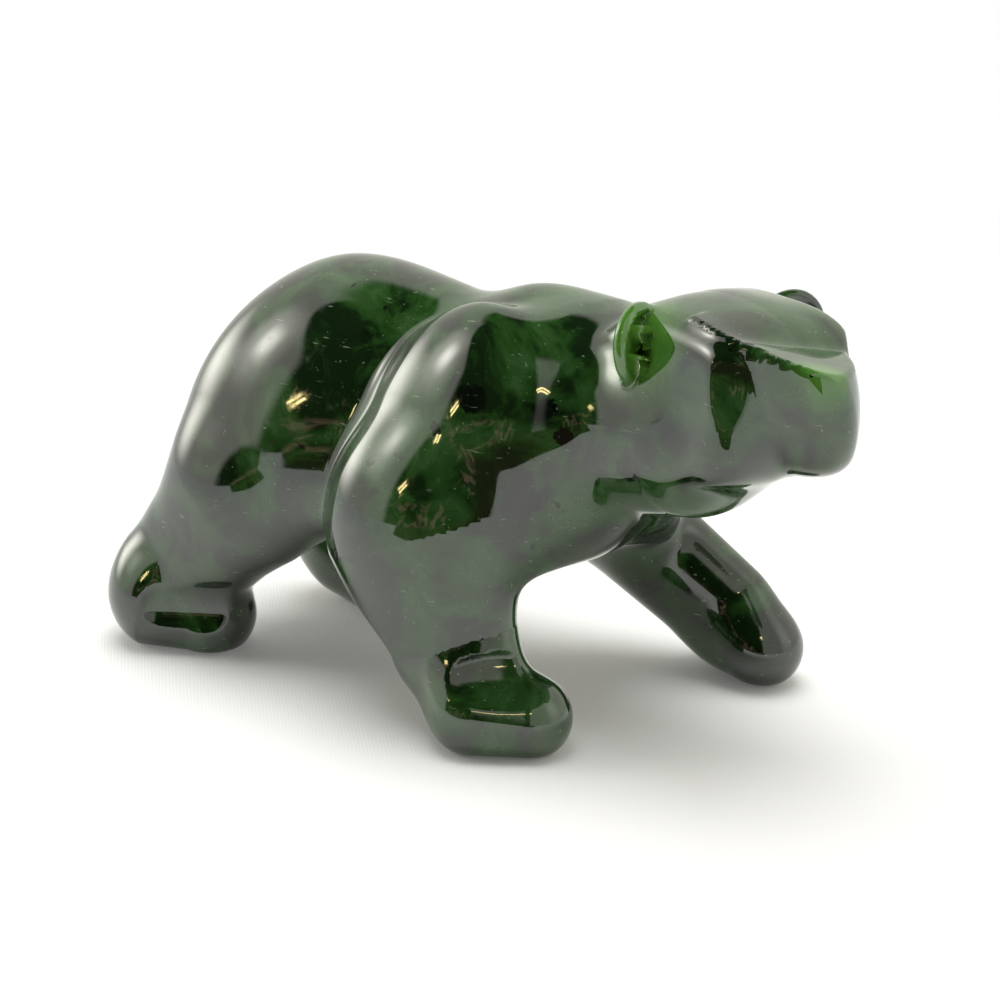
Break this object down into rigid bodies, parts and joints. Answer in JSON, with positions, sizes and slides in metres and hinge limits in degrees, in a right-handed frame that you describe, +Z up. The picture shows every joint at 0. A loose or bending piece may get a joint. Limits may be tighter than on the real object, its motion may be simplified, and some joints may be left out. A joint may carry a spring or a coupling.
{
  "type": "bear figurine",
  "caption": "Small walking bear carved from one piece of polished dark green stone, its head turned a little to its right.",
  "frame": {"origin": "centre of the bounding box's base, on the surface the soles stand on", "axes": "+X towards the nose, +Y to the bear's left, +Z up"},
  "size_m": [0.1184, 0.0573, 0.0632],
  "materials": {
    "jade": "polished"
  },
  "bodies": {
    "root": {"bear": "jade"}
  },
  "joints": []
}
